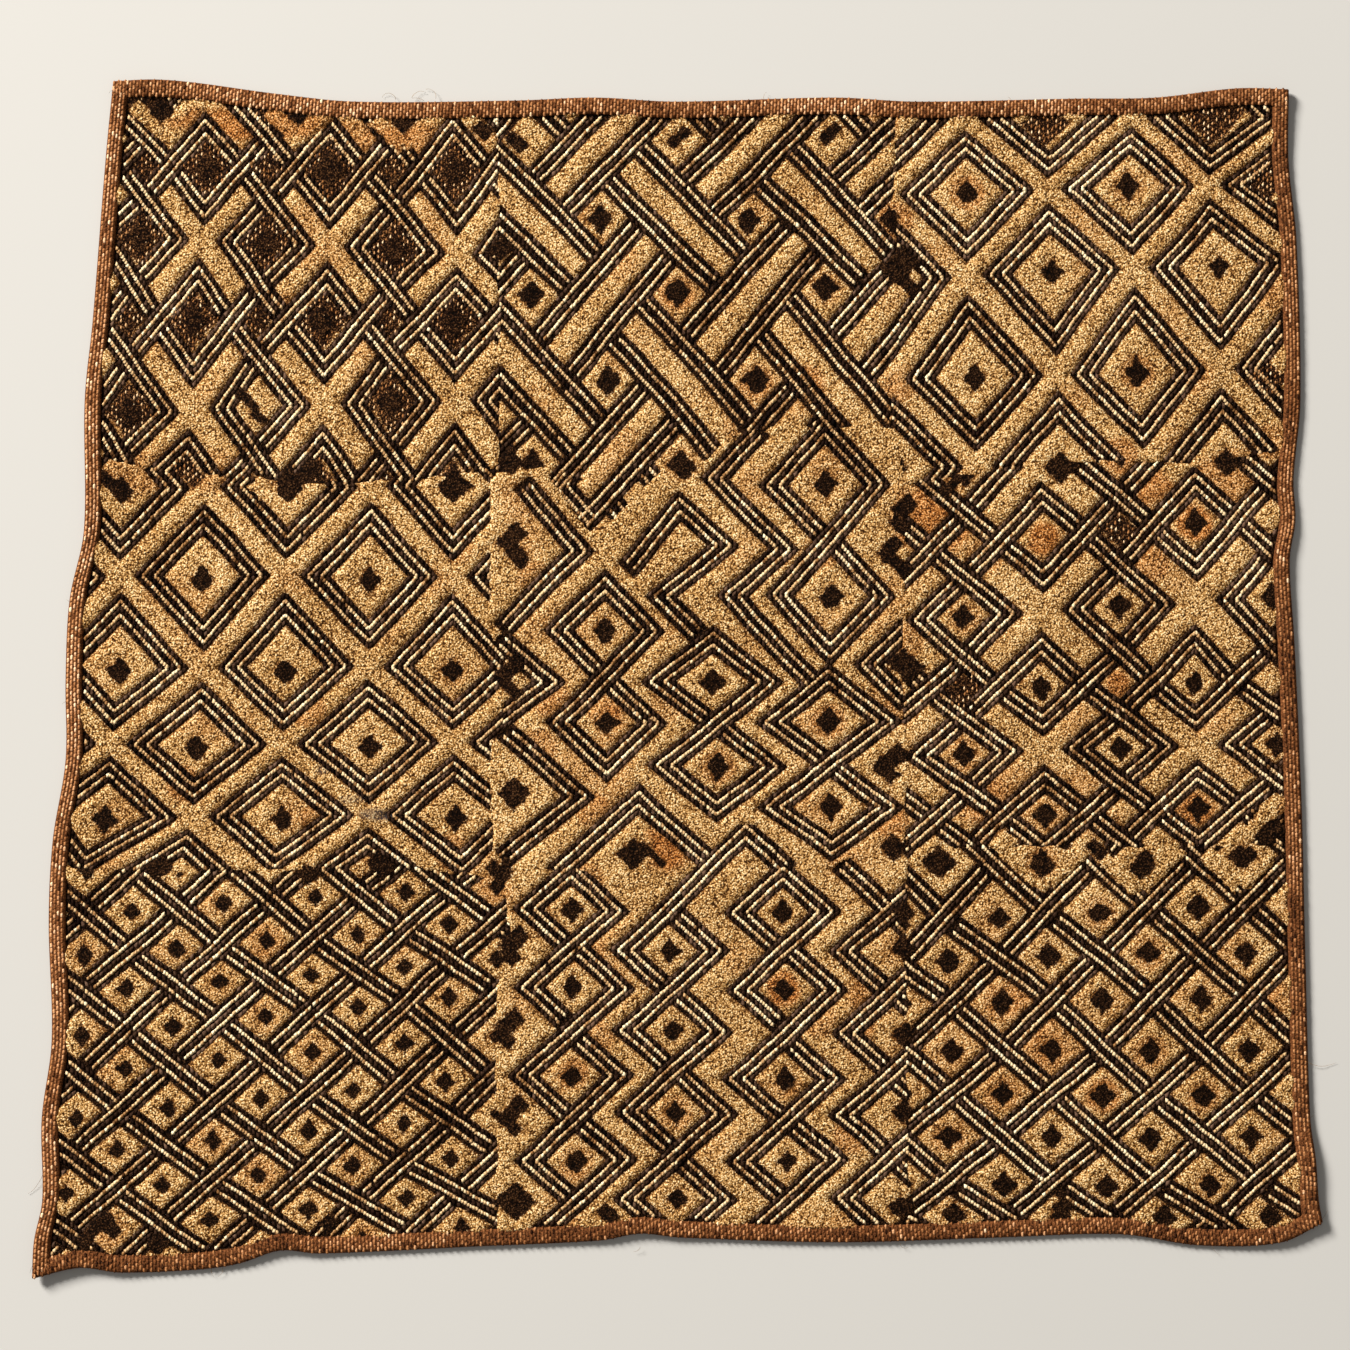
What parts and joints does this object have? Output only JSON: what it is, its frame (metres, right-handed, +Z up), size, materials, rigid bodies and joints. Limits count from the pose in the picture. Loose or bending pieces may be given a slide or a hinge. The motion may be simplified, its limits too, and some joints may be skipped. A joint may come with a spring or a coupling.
{
  "type": "kuba raffia cloth",
  "caption": "Woven raffia panel with cut-pile and cord embroidery in geometric lattices and a hem folded to the front, lying flat.",
  "frame": {"origin": "centre of the cloth's outline, on the floor it lies on", "axes": "+X to the right of the design, +Y to its top edge, +Z up out of the embroidered face"},
  "size_m": [0.6122, 0.569, 0.0053],
  "materials": {
    "raffia": "matt raffia cut pile, gold-tan with near-black brown cords and a warm brown woven hem"
  },
  "bodies": {
    "root": {"cloth": "raffia"}
  },
  "joints": []
}
